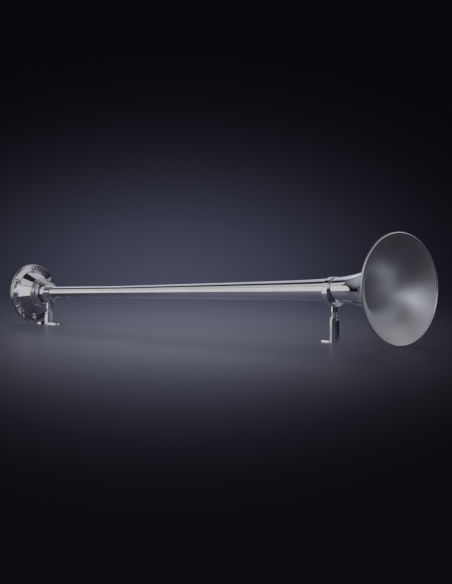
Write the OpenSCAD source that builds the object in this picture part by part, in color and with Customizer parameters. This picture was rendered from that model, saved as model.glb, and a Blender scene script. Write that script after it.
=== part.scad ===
// Marine air horn: a long chromed trumpet blown by a diaphragm driver, on two screw-adjusted feet.
// The horn lies along +X with its mouth forward. Stations are distances behind the plane of the
// bell's rim, measured along the horn's own axis, which rises a little towards the bell.

/* [Horn] */
// Outer diameter of the bell at its rolled rim
bell_d = 210; // [170:1:260]
// Length from the bell's rim plane to the driver's flange
horn_len = 1003; // [830:1:1210]
// Diameter of the straight tube at the driver end
tube_d = 23.8; // [20:0.1:28]
// Station where the straight tube starts to widen towards the bell
taper_start = 750; // [600:1:800]
// Widening of the tube's radius per millimetre at its narrow end
taper_slope = 0.0129; // [0.006:0.0001:0.016]
// Extra widening of the tube's radius per square millimetre
taper_curve = 0.0000021; // [0:0.0000001:0.00002]
// Length over which the bell's flare dies away
flare_len = 46.3; // [38:0.1:60]
// Power that sets how sudden the flare is
flare_power = 1; // [0.95:0.01:1.3]
// Wall of the spun bell and the tube
wall = 1.2; // [0.8:0.1:2]
// Radius of the rolled bead round the bell's rim
bead_r = 1.8; // [1.6:0.1:3]
// Radius of the wire inside the rolled bead
wire_r = 1.1; // [0.6:0.1:1.2]
// Length of the joint where the bell's neck slides over the tube
lap_len = 18; // [8:1:40]
// Rise of the horn's axis towards the bell, in degrees
horn_tilt = 2.5; // [0:0.1:4]
// Least gap between the horn and the deck
deck_gap = 0.8; // [0.5:0.1:20]

/* [Driver] */
// Diameter of the two driver flanges
flange_d = 115; // [95:1:140]
// Thickness of each driver flange
flange_t = 3.5; // [2.5:0.1:6]
// Distance from the flanges' edge in to the base of the front housing's cone
cone_inset = 13.5; // [12.5:0.5:16]
// Small-end diameter of the front housing's cone
cone_tip_d = 60; // [58:1:66]
// Length of the front housing's cone
cone_len = 23; // [18:1:32]
// Wall of the front housing and the rear cover
cast_wall = 3; // [2:0.1:4]
// Number of screws round the flanges
screw_count = 6; // [6:1:12]
// Distance from the flanges' edge in to the centres of the screws
screw_inset = 7; // [6.5:0.1:7.5]
// Shank diameter of a flange screw
screw_d = 5; // [4:0.1:6]
// Head diameter of a flange screw
screw_head_d = 9.8; // [8:0.1:11]
// Head height of a flange screw
screw_head_h = 3.2; // [2.4:0.1:5]
// Width across the flats of a flange nut
nut_flats = 8; // [7:0.1:9]
// Height of a flange nut
nut_h = 4; // [3:0.1:5]
// Thickness of each flange gasket
gasket_t = 0.5; // [0.3:0.1:1]
// Thickness of the diaphragm
diaphragm_t = 0.4; // [0.2:0.1:0.8]
// Diameter of the stiffening disc on the diaphragm
button_d = 26; // [20:1:36]
// Thickness of the stiffening disc
button_t = 1.6; // [1:0.1:2.5]
// Free travel of the diaphragm's centre off its seat
diaphragm_lift = 0.35; // [0.1:0.05:0.6]
// Bore of the nozzle at the diaphragm's seat
seat_bore = 19; // [14:1:20]
// Bore of the air inlet, the tapping size of a quarter-inch pipe thread
inlet_bore = 11.8; // [10:0.1:14]
// Depth of full thread in the air inlet
inlet_depth = 12; // [10:0.5:18]
// Bore of the drilled air passage from the inlet to the front chamber
passage_d = 5; // [3:0.1:5]

/* [Stands] */
// Station of the front stand, where the bell's neck meets the tube
front_stand = 166; // [138:1:200]
// Gap at the horn's axis between the rear stand's shank and the lock nut behind it
rear_shank_gap = 1.65; // [1.3:0.05:30]
// Width of the front eye along the horn
front_eye_w = 14; // [13.5:0.5:20]
// Metal between the horn and the outside of the front eye, before it is set low
front_eye_wall = 5.6; // [5:0.1:9]
// How far the front eye's outside is set below the horn's axis
front_eye_drop = 3.7; // [0:0.1:3.7]
// Width of the rear eye along the horn
rear_eye_w = 10.5; // [8:0.5:12]
// Metal between the horn and the outside of the rear eye
rear_eye_wall = 9.1; // [6:0.1:12]
// Diameter of the threaded shanks
shank_d = 12.7; // [10.5:0.1:15.3]
// Pitch of the shanks' thread
thread_pitch = 1.954; // [1.25:0.001:2]
// Length of front shank that shows between the eye and the jam nut
front_shank_show = 18.9; // [12:0.1:30]
// Length of rear shank that shows between the eye and the jam nut
rear_shank_show = 17; // [8:0.1:18]
// Turns by which the front foot adjusts either way
front_turns = 5; // [1:1:5]
// Turns by which the rear foot adjusts either way
rear_turns = 3; // [1:1:3]
// Wall of the front foot's post round the shank
front_post_wall = 3.15; // [2.6:0.05:6]
// Wall of the rear foot's post round the shank
rear_post_wall = 2.65; // [2.4:0.05:5]
// How far the lower part of the rear foot's post stands out from its upper part
rear_step = 1; // [0.8:0.1:3]
// Height of the rear foot's step above the deck
rear_step_h = 15; // [8:0.5:16]
// Thickness of the feet's tabs
tab_t = 4.5; // [3:0.1:8]
// Width of the feet's tabs
tab_w = 18; // [15:0.5:19]
// Distance from a shank's axis to a tab's screw hole
tab_hole = 23; // [20:0.5:40]
// Diameter of a tab's screw hole
tab_hole_d = 6.6; // [4:0.1:8]
// Solid metal left under a foot's threaded bore
foot_floor = 2.2; // [1:0.1:3]
// Wall of the jam nuts and their washers round the shank
jam_wall = 1.85; // [1.6:0.05:2.3]
// Thickness of a jam nut
jam_t = 2.5; // [2:0.1:6]
// Depth of each of a jam nut's two spanner flats
jam_flat = 0.9; // [0.4:0.1:1.2]
// Thickness of a jam washer
washer_t = 0.7; // [0.4:0.1:1.5]
// Diameter of the set screws that lock the eyes to the horn
set_screw_d = 5; // [4:0.1:6]
// Angle of the set screws from straight down, towards +Y
set_screw_angle = 50; // [40:1:90]

/* [Fits] */
// Radial clearance of shafts in their bores
fit = 0.05; // [0.02:0.01:0.08]
// Clearance between faces that meet
face_gap = 0.02; // [0:0.01:0.05]
// Chamfer on turned edges
edge = 0.6; // [0.2:0.1:1]
// Thread clearance round the set screws and flange screws
screw_fit = 0.1; // [0.05:0.01:0.2]

/* [Hidden] */
$fn = 96;

chrome = [0.80, 0.81, 0.84];
dark_chrome = [0.60, 0.61, 0.65];
brass = [0.78, 0.64, 0.34];
steel = [0.66, 0.67, 0.68];
rubber = [0.12, 0.12, 0.13];
bronze = [0.72, 0.52, 0.30];

bell_r = bell_d / 2;
tube_r = tube_d / 2;
flange_r = flange_d / 2;
cone_base_r = flange_r - cone_inset;
cone_tip_r = cone_tip_d / 2;
screw_circle_r = flange_r - screw_inset;
shank_r = shank_d / 2;
neck_cover = 3;
bell_neck = front_stand + front_eye_w / 2 - neck_cover;

// Stations of the driver's stack, from its front to its back
spigot_len = 7;
ferrule_flange_t = 2.8;
seal_t = 0.5;
nut_face_t = 2.7;
tube_in = 5;
hub_len = 12;
cone_tip_s = horn_len - cone_len;
spigot_s = cone_tip_s - spigot_len;
ferrule_s = spigot_s - seal_t - ferrule_flange_t;
lock_nut_s = ferrule_s - nut_face_t;
tube_end = cone_tip_s + tube_in;
hub_end = cone_tip_s + hub_len;
flange_back = horn_len + flange_t;
front_gasket_s = flange_back;
diaphragm_s = front_gasket_s + gasket_t;
rear_gasket_s = diaphragm_s + diaphragm_t;
cover_s = rear_gasket_s + gasket_t;
cover_back = cover_s + flange_t;
recess_depth = 8;
rib_wall = 2.2;
boss_wall = 7;
crown_s = cover_s + recess_depth + cast_wall;
passage_s = crown_s - 0.4 + passage_d / 2;
rib_top = passage_s + passage_d / 2 + rib_wall;
inlet_floor = passage_s - passage_d / 2 + 0.6;
inlet_full = passage_s + passage_d / 2 + 0.4;
inlet_step = 0.9;
inlet_drill_r = inlet_bore / 2 - inlet_step;
boss_end = inlet_full + inlet_depth;
boss_r = inlet_bore / 2 + boss_wall;

// Radii inside the driver
ferrule_wall = 4.1;
ferrule_r = tube_r + ferrule_wall;
spigot_wall = 4;
spigot_r = ferrule_r + spigot_wall;
hub_wall = 3.5;
hub_r = ferrule_r + hub_wall;
nozzle_step = 3;
nozzle_r = ferrule_r - nozzle_step;
lip_land = 2;
lip_r = min(seat_bore / 2 + lip_land, nozzle_r - 0.5);
lock_nut_wall = 4;
lock_nose_r = spigot_r + lock_nut_wall;
lock_grip_rise = 3.4;
lock_nut_r = lock_nose_r + lock_grip_rise;
chamber_r = cone_base_r;
gasket_inset = 0.5;
gasket_r = flange_r - gasket_inset;
port_wall = 0.5;
port_r = chamber_r + port_wall + passage_d / 2;
port_angle = (floor(screw_count / 4) + 0.5) * 360 / screw_count;
rib_side = 3;
rib_w = passage_d + 2 * rib_side;
rib_inset = 2;
rib_end = flange_r - rib_inset;
plug_r = passage_d / 2 - 0.05;
plug_gap = 0.7;
plug_in = port_r + passage_d / 2 + plug_gap;
rivet_r = 2;
rivet_head_r = 5;
rivet_head_t = 1.2;

// Place of the whole horn: both the bell and the driver clear the deck
bell_low = bead_r + (bell_r - bead_r) * cos(horn_tilt) + bead_r * sin(horn_tilt);
driver_low = flange_r * cos(horn_tilt) + (cover_back + 1) * sin(horn_tilt);
rim_z = deck_gap + max(bell_low, driver_low);
back_reach = boss_end * cos(horn_tilt) + boss_r * sin(horn_tilt);
front_reach = (bell_r - bead_r) * sin(horn_tilt) + bead_r - bead_r * cos(horn_tilt);
rim_x = (back_reach - front_reach) / 2;

// Sizes and heights of the stands
nose_gap = 0.3;
rear_nose_gap = lock_nose_r * tan(horn_tilt) + nose_gap;
rear_stand = lock_nut_s - max(rear_shank_gap, rear_nose_gap) - shank_r;
front_eye_r = horn_radius(front_stand) + front_eye_wall;
rear_eye_r = horn_radius(rear_stand) + rear_eye_wall;
front_post_d = shank_d + 2 * front_post_wall;
rear_post_d = shank_d + 2 * rear_post_wall;
rear_step_d = rear_post_d + 2 * rear_step;
jam_d = shank_d + 2 * jam_wall;
jam_flats = jam_d - 2 * jam_flat;
front_x = rim_x - front_stand * cos(horn_tilt);
rear_x = rim_x - rear_stand * cos(horn_tilt);
front_axis_z = rim_z - front_stand * sin(horn_tilt);
rear_axis_z = rim_z - rear_stand * sin(horn_tilt);
front_eye_low = front_axis_z - front_eye_r - front_eye_drop;
rear_eye_low = rear_axis_z - rear_eye_r;
front_post_top = front_eye_low - front_shank_show - jam_t - washer_t;
rear_post_top = rear_eye_low - rear_shank_show - jam_t - washer_t;
end_gap = 0.5;
eye_ease = 0.03;
jam_edge = 0.4;
post_inset = 0.3;
front_shank_end = foot_floor + front_turns * thread_pitch + end_gap;
rear_shank_end = foot_floor + rear_turns * thread_pitch + end_gap;

// Outer radius of the tapering tube at station s, without the bell's flare
function tube_radius(s) =
    s >= taper_start ? tube_r
    : tube_r + taper_slope * (taper_start - s) + taper_curve * pow(taper_start - s, 2);

// Outer radius of the horn at station s
function horn_radius(s) =
    tube_radius(s) + (bell_r - tube_radius(0)) * exp(-pow(s / flare_len, flare_power));

// Change of the horn's outer radius per millimetre at station s
function horn_slope(s) = horn_radius(s - 0.5) - horn_radius(s + 0.5);

// Radius of the horn's bore at station s, a wall's thickness inside the outer surface
function bore_radius(s) = horn_radius(s) - wall * sqrt(1 + pow(horn_slope(s), 2));

// Stations from a to b, closer together near a
function stations(a, b, count, power) = [for (i = [0 : count]) a + (b - a) * pow(i / count, power)];

// Points of an arc about [x, y]
function arc(x, y, r, from, to, steps) =
    [for (i = [0 : steps]) let (t = from + (to - from) * i / steps) [x + r * cos(t), y + r * sin(t)]];

// Local frame of the horn: +Z along its axis to the front, +X down, +Y across
module on_horn() {
    translate([rim_x, 0, rim_z])
        rotate([0, 90 - horn_tilt, 0])
            children();
}

// A piece turned about the horn's axis, from points of [radius, station]
module turned(points) {
    rotate_extrude()
        polygon([for (p = points) [p[0], -p[1]]]);
}

// Children at a station, on the horn's axis
module at_station(s) {
    translate([0, 0, -s])
        children();
}

// Children repeated at the flange screws' places
module at_screws() {
    for (i = [0 : screw_count - 1])
        rotate([0, 0, i * 360 / screw_count])
            translate([screw_circle_r, 0, 0])
                children();
}

// A straight hole along the horn's axis, from one station to another
module axial_hole(r, from, to) {
    translate([0, 0, -to])
        cylinder(r = r, h = to - from);
}

// Holes for the flange screws through a stretch of stations
module screw_holes(from, to) {
    at_screws()
        axial_hole(screw_d / 2 + screw_fit, from, to);
}

// Children turned so that their +X points to the port, midway between two screws
module at_port() {
    rotate([0, 0, port_angle])
        children();
}

// The port that carries air past the diaphragm's edge
module port_hole(from, to) {
    at_port()
        translate([port_r, 0, 0])
            axial_hole(passage_d / 2, from, to);
}

// A flat disc or ring turned about the horn's axis
module disc(r, from, to) {
    axial_hole(r, from, to);
}

module bell() {
    lip_slope = horn_slope(bead_r);
    lip_norm = sqrt(1 + lip_slope * lip_slope);
    lip_depth = wall + bead_r * (lip_slope - 1) / lip_norm;
    lip_start = max(0.05, bead_r - lip_depth * lip_slope / lip_norm);
    outer = stations(bead_r * 0.55, bell_neck, 44, 1.5);
    inner = stations(lip_start, bell_neck, 44, 1.5);
    color(chrome)
        on_horn() {
            difference() {
                union() {
                    turned(concat(
                        [for (s = outer) [horn_radius(s), s]],
                        [for (i = [len(inner) - 1 : -1 : 0]) [bore_radius(inner[i]), inner[i]]]
                    ));
                    at_station(bead_r)
                        rotate_extrude()
                            translate([bell_r - bead_r, 0])
                                circle(r = bead_r, $fn = 48);
                }
                at_station(bead_r)
                    rotate_extrude()
                        translate([bell_r - bead_r, 0])
                            circle(r = wire_r + fit, $fn = 48);
            }
        }
}

module rim_wire() {
    color(steel)
        on_horn()
            at_station(bead_r)
                rotate_extrude()
                    translate([bell_r - bead_r, 0])
                        circle(r = wire_r, $fn = 48);
}

module horn_tube() {
    lap_start = bell_neck - lap_len;
    lap = stations(lap_start, bell_neck, 4, 1);
    taper = stations(bell_neck, taper_start, 16, 1);
    joggle_end = bell_neck + 2 * wall;
    taper_in = stations(taper_start, joggle_end, 16, 1);
    lap_fit = 2 * fit;
    lap_bore = bore_radius(bell_neck) - wall - lap_fit;
    color(chrome)
        on_horn()
            turned(concat(
                [for (s = lap) [bore_radius(s) - lap_fit, s]],
                [[bore_radius(bell_neck) - lap_fit, bell_neck + face_gap]],
                [for (s = taper) [horn_radius(s + face_gap), s + face_gap]],
                [[tube_r, tube_end], [tube_r - wall, tube_end]],
                [for (s = taper_in) [horn_radius(s) - wall, s]],
                [[lap_bore, joggle_end], [lap_bore, lap_start]]
            ));
}

module throat_ferrule() {
    color(brass)
        on_horn()
            turned([
                [tube_r + fit, ferrule_s + face_gap],
                [spigot_r - edge, ferrule_s + face_gap],
                [spigot_r - edge, ferrule_s + ferrule_flange_t],
                [ferrule_r, ferrule_s + ferrule_flange_t],
                [ferrule_r, tube_end],
                [tube_r + fit, tube_end]
            ]);
}

module throat_seal() {
    color(rubber)
        on_horn()
            turned([
                [ferrule_r + fit, spigot_s - seal_t + face_gap],
                [spigot_r - edge, spigot_s - seal_t + face_gap],
                [spigot_r - edge, spigot_s - face_gap],
                [ferrule_r + fit, spigot_s - face_gap]
            ]);
}

module lock_nut() {
    grip_len = 6.5;
    shoulder = cone_tip_s - grip_len;
    back = cone_tip_s - 0.3;
    nose_edge = 1.2;
    grip_edge = 0.8;
    color(chrome)
        on_horn()
            turned([
                [tube_r + fit, lock_nut_s],
                [lock_nose_r - nose_edge, lock_nut_s],
                [lock_nose_r, lock_nut_s + nose_edge],
                [lock_nose_r, shoulder - 2 * grip_edge],
                [lock_nut_r - 1, shoulder - grip_edge / 2],
                [lock_nut_r, shoulder + grip_edge],
                [lock_nut_r, back - grip_edge],
                [lock_nut_r - grip_edge, back],
                [spigot_r + fit, back],
                [spigot_r + fit, ferrule_s],
                [tube_r + fit, ferrule_s]
            ]);
}

module front_housing() {
    slope_in = cast_wall * (cone_base_r - cone_tip_r) / cone_len;
    round_r = 1.5;
    slot_in = chamber_r - cast_wall - 3;
    slot_depth = 2;
    color(chrome)
        on_horn()
            difference() {
                turned(concat(
                    [
                        [chamber_r, flange_back],
                        [flange_r, flange_back],
                        [flange_r, horn_len + edge],
                        [flange_r - edge, horn_len],
                        [cone_base_r + edge, horn_len],
                        [cone_base_r, horn_len - edge]
                    ],
                    arc(cone_tip_r - round_r, cone_tip_s + round_r, round_r, 0, -90, 5),
                    [
                        [spigot_r, cone_tip_s],
                        [spigot_r, spigot_s + edge],
                        [spigot_r - edge, spigot_s],
                        [ferrule_r + fit, spigot_s],
                        [ferrule_r + fit, hub_end],
                        [hub_r, hub_end],
                        [hub_r, cone_tip_s + cast_wall],
                        [cone_tip_r - cast_wall, cone_tip_s + cast_wall],
                        [cone_base_r - slope_in, horn_len + 1]
                    ]
                ));
                screw_holes(horn_len - 1, flange_back + 1);
                port_hole(flange_back - slot_depth, flange_back + 1);
                at_port()
                    translate([slot_in, -passage_d / 2, -flange_back - 1])
                        cube([port_r - slot_in, passage_d, slot_depth + 1]);
            }
}

module throat_nozzle() {
    seat_s = diaphragm_s - face_gap;
    lip_len = 3;
    color(brass)
        on_horn()
            turned([
                [tube_r - wall, tube_end + face_gap],
                [ferrule_r, tube_end + face_gap],
                [ferrule_r, hub_end],
                [nozzle_r, hub_end],
                [nozzle_r, seat_s - lip_len],
                [lip_r, seat_s],
                [seat_bore / 2, seat_s]
            ]);
}

// A flat ring between the flanges, with the screw and port holes
module flange_ring(from, to) {
    difference() {
        disc(gasket_r, from + face_gap, to - face_gap);
        disc(chamber_r, from - 1, to + 1);
        screw_holes(from - 1, to + 1);
        port_hole(from - 1, to + 1);
    }
}

module front_gasket() {
    color(rubber)
        on_horn()
            flange_ring(front_gasket_s, diaphragm_s);
}

module rear_gasket() {
    color(rubber)
        on_horn()
            flange_ring(rear_gasket_s, cover_s);
}

module diaphragm() {
    color(bronze)
        on_horn()
            difference() {
                disc(gasket_r, diaphragm_s, rear_gasket_s);
                disc(rivet_r + fit, diaphragm_s - 1, rear_gasket_s + 1);
                screw_holes(diaphragm_s - 1, rear_gasket_s + 1);
                port_hole(diaphragm_s - 1, rear_gasket_s + 1);
            }
}

module diaphragm_button() {
    disc_edge = 0.4;
    color(steel)
        on_horn()
            union() {
                disc(rivet_head_r, diaphragm_s - rivet_head_t - face_gap, diaphragm_s - face_gap);
                disc(rivet_r, diaphragm_s - rivet_head_t / 2, rear_gasket_s + button_t / 2);
                turned([
                    [0, rear_gasket_s + face_gap],
                    [button_d / 2, rear_gasket_s + face_gap],
                    [button_d / 2, rear_gasket_s + button_t - disc_edge],
                    [button_d / 2 - disc_edge, rear_gasket_s + button_t],
                    [0, rear_gasket_s + button_t]
                ]);
            }
}

module rear_cover() {
    dome_r = cone_base_r + 1;
    dome_round = 7.5;
    boss_edge = 1;
    recess_side = 2;
    color(chrome)
        on_horn()
            difference() {
                union() {
                    turned(concat(
                        [
                            [0, cover_s],
                            [flange_r, cover_s],
                            [flange_r, cover_back - edge],
                            [flange_r - edge, cover_back],
                            [dome_r, cover_back]
                        ],
                        arc(dome_r - dome_round, crown_s - dome_round, dome_round, 0, 90, 6),
                        [[0, crown_s]]
                    ));
                    turned([
                        [0, crown_s - 1],
                        [boss_r, crown_s - 1],
                        [boss_r, boss_end - boss_edge],
                        [boss_r - boss_edge, boss_end],
                        [0, boss_end]
                    ]);
                    at_port()
                        translate([0, -rib_w / 2, -rib_top])
                            cube([rib_end, rib_w, rib_top - cover_back + 1]);
                }
                turned([
                    [0, cover_s - 1],
                    [chamber_r, cover_s - 1],
                    [chamber_r, cover_s + recess_side],
                    [chamber_r - recess_depth + recess_side, cover_s + recess_depth],
                    [0, cover_s + recess_depth]
                ]);
                screw_holes(cover_s - 1, cover_back + 1);
                port_hole(cover_s - 1, passage_s);
                axial_hole(inlet_bore / 2, inlet_full, boss_end + 1);
                axial_hole(inlet_drill_r, inlet_floor, inlet_full + 1);
                at_station(passage_s)
                    at_port()
                        rotate([0, 90, 0])
                            cylinder(d = passage_d, h = rib_end + 1);
            }
}

module passage_plug() {
    slot_w = 0.9;
    slot_depth = 1;
    color(brass)
        on_horn()
            at_station(passage_s)
                at_port()
                    difference() {
                        translate([plug_in, 0, 0])
                            rotate([0, 90, 0])
                                cylinder(r = plug_r, h = rib_end - plug_in);
                        translate([rib_end - slot_depth, -passage_d, -slot_w / 2])
                            cube([2, 2 * passage_d, slot_w]);
                    }
}

module cover_screws() {
    tail = cover_back + nut_h + 1.5;
    dome_h = screw_head_h / 2;
    dome_in = screw_head_h * 0.45;
    socket_d = screw_head_d * 0.42;
    socket_depth = 1.8;
    color(chrome)
        on_horn()
            at_screws()
                difference() {
                    union() {
                        axial_hole(screw_d / 2, horn_len - 1, tail);
                        at_station(horn_len - face_gap)
                            cylinder(d = screw_head_d, h = screw_head_h * 0.55);
                        at_station(horn_len - dome_h)
                            cylinder(
                                r1 = screw_head_d / 2,
                                r2 = screw_head_d / 2 - dome_in,
                                h = dome_h
                            );
                    }
                    at_station(horn_len - screw_head_h + socket_depth)
                        cylinder(d = socket_d, h = socket_depth + 0.2, $fn = 6);
                }
}

module cover_nuts() {
    color(chrome)
        on_horn()
            at_screws()
                at_station(cover_back + nut_h)
                    difference() {
                        cylinder(d = nut_flats / cos(30), h = nut_h - face_gap, $fn = 6);
                        translate([0, 0, -1])
                            cylinder(r = screw_d / 2 + fit, h = nut_h + 2);
                    }
}

// The conical seat of an eye on the tapering horn, over its whole width
module eye_bore(station, width) {
    clear = fit + eye_ease;
    front = station - width / 2 - 1;
    back = station + width / 2 + 1;
    at_station(back)
        cylinder(r1 = horn_radius(back) + clear, r2 = horn_radius(front) + clear, h = back - front);
}

// The ring of an eye, with chamfered edges, set below the horn's axis by drop
module eye_ring(station, width, outer_r, drop) {
    ring_edge = 1.1;
    at_station(station)
        translate([drop, 0, -width / 2])
            rotate_extrude()
                polygon([
                    [0, 0],
                    [outer_r - ring_edge, 0],
                    [outer_r, ring_edge],
                    [outer_r, width - ring_edge],
                    [outer_r - ring_edge, width],
                    [0, width]
                ]);
}

// The tapped hole for the set screw of an eye
module set_screw_hole(station, outer_r) {
    at_station(station)
        rotate([0, 0, set_screw_angle])
            rotate([0, 90, 0])
                cylinder(r = set_screw_d / 2 + screw_fit, h = 2 * outer_r);
}

// An eye: a ring round the horn with an upright shank under it
module eye(station, x, axis_z, width, outer_r, drop, shank_end) {
    difference() {
        union() {
            on_horn()
                eye_ring(station, width, outer_r, drop);
            translate([x, 0, shank_end])
                cylinder(r = shank_r, h = axis_z - drop - shank_end - outer_r / 2);
        }
        on_horn() {
            eye_bore(station, width + shank_d);
            set_screw_hole(station, outer_r);
        }
    }
}

// A headless set screw from the horn's surface to just inside the eye's outside
module set_screw(station, outer_r, drop) {
    seat = horn_radius(station) + 0.15;
    sunk = 0.5;
    reach = drop * cos(set_screw_angle)
        + sqrt(pow(outer_r, 2) - pow(drop * sin(set_screw_angle), 2)) - sunk;
    socket = set_screw_d / 2;
    on_horn()
        at_station(station)
            rotate([0, 0, set_screw_angle])
                rotate([0, 90, 0])
                    difference() {
                        translate([0, 0, seat])
                            cylinder(d = set_screw_d, h = reach - seat);
                        translate([0, 0, reach - socket])
                            cylinder(d = socket, h = socket + 1, $fn = 6);
                    }
}

// A plain washer round a shank
module jam_washer(x, z) {
    translate([x, 0, z])
        difference() {
            cylinder(d = jam_d, h = washer_t);
            translate([0, 0, -1])
                cylinder(r = shank_r + fit, h = washer_t + 2);
        }
}

// A thin round jam nut with two spanner flats
module jam_nut(x, z) {
    translate([x, 0, z])
        difference() {
            intersection() {
                union() {
                    cylinder(d1 = jam_d - 2 * jam_edge, d2 = jam_d, h = jam_edge);
                    translate([0, 0, jam_edge])
                        cylinder(d = jam_d, h = jam_t - 2 * jam_edge);
                    translate([0, 0, jam_t - jam_edge])
                        cylinder(d1 = jam_d, d2 = jam_d - 2 * jam_edge, h = jam_edge);
                }
                translate([-jam_d, -jam_flats / 2, -1])
                    cube([2 * jam_d, jam_flats, jam_t + 2]);
            }
            translate([0, 0, -1])
                cylinder(r = shank_r + fit, h = jam_t + 2);
        }
}

// A foot's tab towards direction side, -1 to the rear and 1 to the front
module tab(side) {
    difference() {
        union() {
            translate([side > 0 ? 0 : -tab_hole, -tab_w / 2, 0])
                cube([tab_hole, tab_w, tab_t]);
            translate([side * tab_hole, 0, 0])
                cylinder(d = tab_w, h = tab_t - edge);
            translate([side * tab_hole, 0, tab_t - edge])
                cylinder(d1 = tab_w, d2 = tab_w - 2 * edge, h = edge);
        }
        translate([side * tab_hole, 0, -1])
            cylinder(d = tab_hole_d, h = tab_t + 2);
    }
}

// The bore of a foot, blind above the deck
module foot_bore(top) {
    translate([0, 0, foot_floor])
        cylinder(r = shank_r + fit, h = top);
}

module front_foot_solid() {
    shoulder = 2.2;
    difference() {
        union() {
            cylinder(d = front_post_d, h = front_post_top - shoulder);
            translate([0, 0, front_post_top - shoulder])
                cylinder(d1 = front_post_d, d2 = jam_d - 2 * post_inset, h = shoulder);
            tab(-1);
        }
        foot_bore(front_post_top);
    }
}

module rear_foot_solid() {
    shoulder = 1;
    difference() {
        union() {
            cylinder(d = rear_step_d, h = rear_step_h - edge);
            translate([0, 0, rear_step_h - edge])
                cylinder(d1 = rear_step_d, d2 = rear_step_d - 2 * edge, h = edge);
            cylinder(d = rear_post_d, h = rear_post_top - shoulder);
            translate([0, 0, rear_post_top - shoulder])
                cylinder(d1 = rear_post_d, d2 = jam_d - 2 * post_inset, h = shoulder);
            tab(-1);
            tab(1);
        }
        foot_bore(rear_post_top);
    }
}

module front_eye() {
    color(chrome)
        eye(
            front_stand, front_x, front_axis_z, front_eye_w, front_eye_r, front_eye_drop,
            front_shank_end
        );
}

module rear_eye() {
    color(chrome)
        eye(rear_stand, rear_x, rear_axis_z, rear_eye_w, rear_eye_r, 0, rear_shank_end);
}

module front_set_screw() {
    color(steel)
        set_screw(front_stand, front_eye_r, front_eye_drop);
}

module rear_set_screw() {
    color(steel)
        set_screw(rear_stand, rear_eye_r, 0);
}

module front_washer() {
    color(dark_chrome)
        jam_washer(front_x, front_post_top);
}

module rear_washer() {
    color(dark_chrome)
        jam_washer(rear_x, rear_post_top);
}

module front_jam_nut() {
    color(chrome)
        jam_nut(front_x, front_post_top + washer_t);
}

module rear_jam_nut() {
    color(chrome)
        jam_nut(rear_x, rear_post_top + washer_t);
}

module front_foot() {
    color(chrome)
        translate([front_x, 0, 0])
            front_foot_solid();
}

module rear_foot() {
    color(chrome)
        translate([rear_x, 0, 0])
            rear_foot_solid();
}

bell();
rim_wire();
horn_tube();
throat_ferrule();
throat_seal();
lock_nut();
front_housing();
throat_nozzle();
front_gasket();
diaphragm();
diaphragm_button();
rear_gasket();
rear_cover();
passage_plug();
cover_screws();
cover_nuts();
front_eye();
front_set_screw();
front_washer();
front_jam_nut();
front_foot();
rear_eye();
rear_set_screw();
rear_washer();
rear_jam_nut();
rear_foot();
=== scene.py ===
"""Looks of the marine air horn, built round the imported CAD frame.

Smooth turned and spun skins with real threads replace the plain CAD nodes. All of it is polished plate, in a
plain studio that is seen from where the photograph was taken.
"""

import math
from types import SimpleNamespace

import bmesh
import bpy
from mathutils import Matrix, Vector


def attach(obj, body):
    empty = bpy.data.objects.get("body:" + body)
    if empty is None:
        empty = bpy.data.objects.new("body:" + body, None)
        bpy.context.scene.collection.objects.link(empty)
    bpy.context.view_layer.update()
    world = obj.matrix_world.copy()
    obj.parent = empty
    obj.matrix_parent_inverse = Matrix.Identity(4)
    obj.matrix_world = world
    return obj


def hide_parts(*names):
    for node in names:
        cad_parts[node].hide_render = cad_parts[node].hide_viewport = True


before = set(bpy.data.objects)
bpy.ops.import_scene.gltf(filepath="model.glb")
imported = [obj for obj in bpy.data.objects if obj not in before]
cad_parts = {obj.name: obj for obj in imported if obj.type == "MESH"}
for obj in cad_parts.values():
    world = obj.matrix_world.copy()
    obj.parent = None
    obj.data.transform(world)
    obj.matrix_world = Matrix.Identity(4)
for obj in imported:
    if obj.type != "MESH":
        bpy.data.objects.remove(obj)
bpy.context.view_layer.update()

# Driving sizes of the trumpet in millimetres, as in the construction source
BELL_R = 105.0
TUBE_R = 11.9
TAPER_START = 750.0
TAPER_SLOPE = 0.0129
TAPER_CURVE = 0.0000021
FLARE_LEN = 46.3
WALL = 1.2
BEAD_R = 1.8
LAP_LEN = 18
NECK_COVER = 3
TILT = math.radians(2.5)
DECK_GAP = 0.8

# Driving sizes of the driver. A station is a distance behind the plane of the bell's rim, along the axis.
FLANGE_S = 1003.0
FLANGE_R = 57.5
FLANGE_T = 3.5
CONE_INSET = 13.5
CONE_TIP_R = 30.0
CONE_LEN = 23
CAST_WALL = 3
SPIGOT_LEN = 7
SEAL_T = 0.5
FERRULE_FLANGE_T = 2.8
NUT_FACE_T = 2.7
TUBE_IN = 5
HUB_LEN = 12
FERRULE_WALL = 4.1
SPIGOT_WALL = 4
HUB_WALL = 3.5
LOCK_NUT_WALL = 4
LOCK_GRIP_RISE = 3.4
GASKET_T = 0.5
GASKET_INSET = 0.5
DIAPHRAGM_T = 0.4
RECESS_DEPTH = 8
PASSAGE_R = 2.5
PASSAGE_SUNK = 0.4
PORT_WALL = 0.5
RIB_WALL = 2.2
RIB_SIDE = 3
RIB_INSET = 2
INLET_R = 5.9
INLET_DEPTH = 12
INLET_LEAD = 0.4
INLET_PITCH = 1.337
BOSS_WALL = 7
SCREW_COUNT = 6
SCREW_INSET = 7
SCREW_R = 2.5
HEAD_R = 4.9
HEAD_H = 3.2
NUT_H = 4.0
NUT_HALF_FLATS = 4.0

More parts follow.
